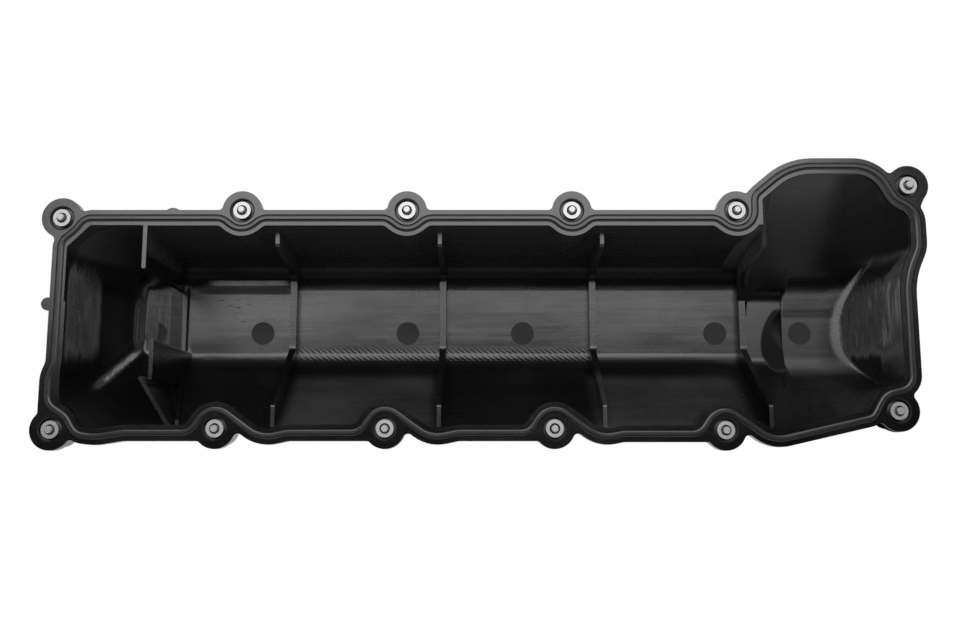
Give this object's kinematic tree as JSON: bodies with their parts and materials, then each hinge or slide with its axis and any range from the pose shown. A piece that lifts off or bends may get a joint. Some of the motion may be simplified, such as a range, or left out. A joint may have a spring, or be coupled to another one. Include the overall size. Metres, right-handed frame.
{
  "type": "engine valve cover",
  "caption": "Long moulded valve cover seen from its open side, with a grooved rim and rubber seal, cross ribs and captive bolts in rubber-mounted steel sleeves.",
  "frame": {"origin": "where the axis of the second fixing of the upper row meets the plane of the rim's flat face", "axes": "+Z out of the open side, square to the sealing face; +X along the cover towards the wide end; +Y across it towards the side where the wide end bulges out"},
  "size_m": [0.5653, 0.1863, 0.0922],
  "materials": {
    "cover_plastic": "black glass-filled plastic as moulded, satin inside with glossier walls",
    "seal_rubber": "dark soft rubber, slightly sheeny",
    "plated_steel": "bright plated steel, clean"
  },
  "bodies": {
    "cover_body": {"cover": "cover_plastic", "gasket": "seal_rubber", "grommet_01": "seal_rubber", "grommet_02": "seal_rubber", "grommet_03": "seal_rubber", "grommet_04": "seal_rubber", "grommet_05": "seal_rubber", "grommet_06": "seal_rubber", "grommet_07": "seal_rubber", "grommet_08": "seal_rubber", "grommet_09": "seal_rubber", "grommet_10": "seal_rubber", "grommet_11": "seal_rubber", "grommet_12": "seal_rubber", "sleeve_01": "plated_steel", "sleeve_02": "plated_steel", "sleeve_03": "plated_steel", "sleeve_04": "plated_steel", "sleeve_05": "plated_steel", "sleeve_06": "plated_steel", "sleeve_07": "plated_steel", "sleeve_08": "plated_steel", "sleeve_09": "plated_steel", "sleeve_10": "plated_steel", "sleeve_11": "plated_steel", "sleeve_12": "plated_steel"},
    "washer_body_01": {"washer_01": "plated_steel"},
    "washer_body_02": {"washer_02": "plated_steel"},
    "washer_body_03": {"washer_03": "plated_steel"},
    "washer_body_04": {"washer_04": "plated_steel"},
    "washer_body_05": {"washer_05": "plated_steel"},
    "washer_body_06": {"washer_06": "plated_steel"},
    "washer_body_07": {"washer_07": "plated_steel"},
    "washer_body_08": {"washer_08": "plated_steel"},
    "washer_body_09": {"washer_09": "plated_steel"},
    "washer_body_10": {"washer_10": "plated_steel"},
    "washer_body_11": {"washer_11": "plated_steel"},
    "washer_body_12": {"washer_12": "plated_steel"},
    "bolt_body_01": {"bolt_01": "plated_steel"},
    "bolt_body_02": {"bolt_02": "plated_steel"},
    "bolt_body_03": {"bolt_03": "plated_steel"},
    "bolt_body_04": {"bolt_04": "plated_steel"},
    "bolt_body_05": {"bolt_05": "plated_steel"},
    "bolt_body_06": {"bolt_06": "plated_steel"},
    "bolt_body_07": {"bolt_07": "plated_steel"},
    "bolt_body_08": {"bolt_08": "plated_steel"},
    "bolt_body_09": {"bolt_09": "plated_steel"},
    "bolt_body_10": {"bolt_10": "plated_steel"},
    "bolt_body_11": {"bolt_11": "plated_steel"},
    "bolt_body_12": {"bolt_12": "plated_steel"}
  },
  "joints": [
    {"name": "bolt_lift_01", "type": "slide", "parent": "cover_body", "child": "washer_body_01", "axis": [0, 0, 1], "range_m": [0, 0.0105]},
    {"name": "bolt_lift_02", "type": "slide", "parent": "cover_body", "child": "washer_body_02", "axis": [0, 0, 1], "range_m": [0, 0.0105]},
    {"name": "bolt_lift_03", "type": "slide", "parent": "cover_body", "child": "washer_body_03", "axis": [0, 0, 1], "range_m": [0, 0.0105]},
    {"name": "bolt_lift_04", "type": "slide", "parent": "cover_body", "child": "washer_body_04", "axis": [0, 0, 1], "range_m": [0, 0.0105]},
    {"name": "bolt_lift_05", "type": "slide", "parent": "cover_body", "child": "washer_body_05", "axis": [0, 0, 1], "range_m": [0, 0.0105]},
    {"name": "bolt_lift_06", "type": "slide", "parent": "cover_body", "child": "washer_body_06", "axis": [0, 0, 1], "range_m": [0, 0.0105]},
    {"name": "bolt_lift_07", "type": "slide", "parent": "cover_body", "child": "washer_body_07", "axis": [0, 0, 1], "range_m": [0, 0.0105]},
    {"name": "bolt_lift_08", "type": "slide", "parent": "cover_body", "child": "washer_body_08", "axis": [0, 0, 1], "range_m": [0, 0.0105]},
    {"name": "bolt_lift_09", "type": "slide", "parent": "cover_body", "child": "washer_body_09", "axis": [0, 0, 1], "range_m": [0, 0.0105]},
    {"name": "bolt_lift_10", "type": "slide", "parent": "cover_body", "child": "washer_body_10", "axis": [0, 0, 1], "range_m": [0, 0.0105]},
    {"name": "bolt_lift_11", "type": "slide", "parent": "cover_body", "child": "washer_body_11", "axis": [0, 0, 1], "range_m": [0, 0.0105]},
    {"name": "bolt_lift_12", "type": "slide", "parent": "cover_body", "child": "washer_body_12", "axis": [0, 0, 1], "range_m": [0, 0.0105]},
    {"name": "bolt_turn_01", "type": "hinge", "parent": "washer_body_01", "child": "bolt_body_01", "pos_m": [-0.105, 0, -0.0367], "axis": [0, 0, 1], "continuous": true},
    {"name": "bolt_turn_02", "type": "hinge", "parent": "washer_body_02", "child": "bolt_body_02", "pos_m": [0, 0, -0.0367], "axis": [0, 0, 1], "continuous": true},
    {"name": "bolt_turn_03", "type": "hinge", "parent": "washer_body_03", "child": "bolt_body_03", "pos_m": [0.105, 0, -0.0367], "axis": [0, 0, 1], "continuous": true},
    {"name": "bolt_turn_04", "type": "hinge", "parent": "washer_body_04", "child": "bolt_body_04", "pos_m": [0.21, 0, -0.0367], "axis": [0, 0, 1], "continuous": true},
    {"name": "bolt_turn_05", "type": "hinge", "parent": "washer_body_05", "child": "bolt_body_05", "pos_m": [-0.1173, -0.1383, -0.0367], "axis": [0, 0, 1], "continuous": true},
    {"name": "bolt_turn_06", "type": "hinge", "parent": "washer_body_06", "child": "bolt_body_06", "pos_m": [-0.0123, -0.1383, -0.0367], "axis": [0, 0, 1], "continuous": true},
    {"name": "bolt_turn_07", "type": "hinge", "parent": "washer_body_07", "child": "bolt_body_07", "pos_m": [0.0927, -0.1383, -0.0367], "axis": [0, 0, 1], "continuous": true},
    {"name": "bolt_turn_08", "type": "hinge", "parent": "washer_body_08", "child": "bolt_body_08", "pos_m": [0.1983, -0.1393, -0.0367], "axis": [0, 0, 1], "continuous": true},
    {"name": "bolt_turn_09", "type": "hinge", "parent": "washer_body_09", "child": "bolt_body_09", "pos_m": [-0.2194, -0.0049, -0.0367], "axis": [0, 0, 1], "continuous": true},
    {"name": "bolt_turn_10", "type": "hinge", "parent": "washer_body_10", "child": "bolt_body_10", "pos_m": [0.3201, 0.0164, -0.0367], "axis": [0, 0, 1], "continuous": true},
    {"name": "bolt_turn_11", "type": "hinge", "parent": "washer_body_11", "child": "bolt_body_11", "pos_m": [-0.2189, -0.139, -0.0367], "axis": [0, 0, 1], "continuous": true},
    {"name": "bolt_turn_12", "type": "hinge", "parent": "washer_body_12", "child": "bolt_body_12", "pos_m": [0.3059, -0.1275, -0.0367], "axis": [0, 0, 1], "continuous": true}
  ]
}
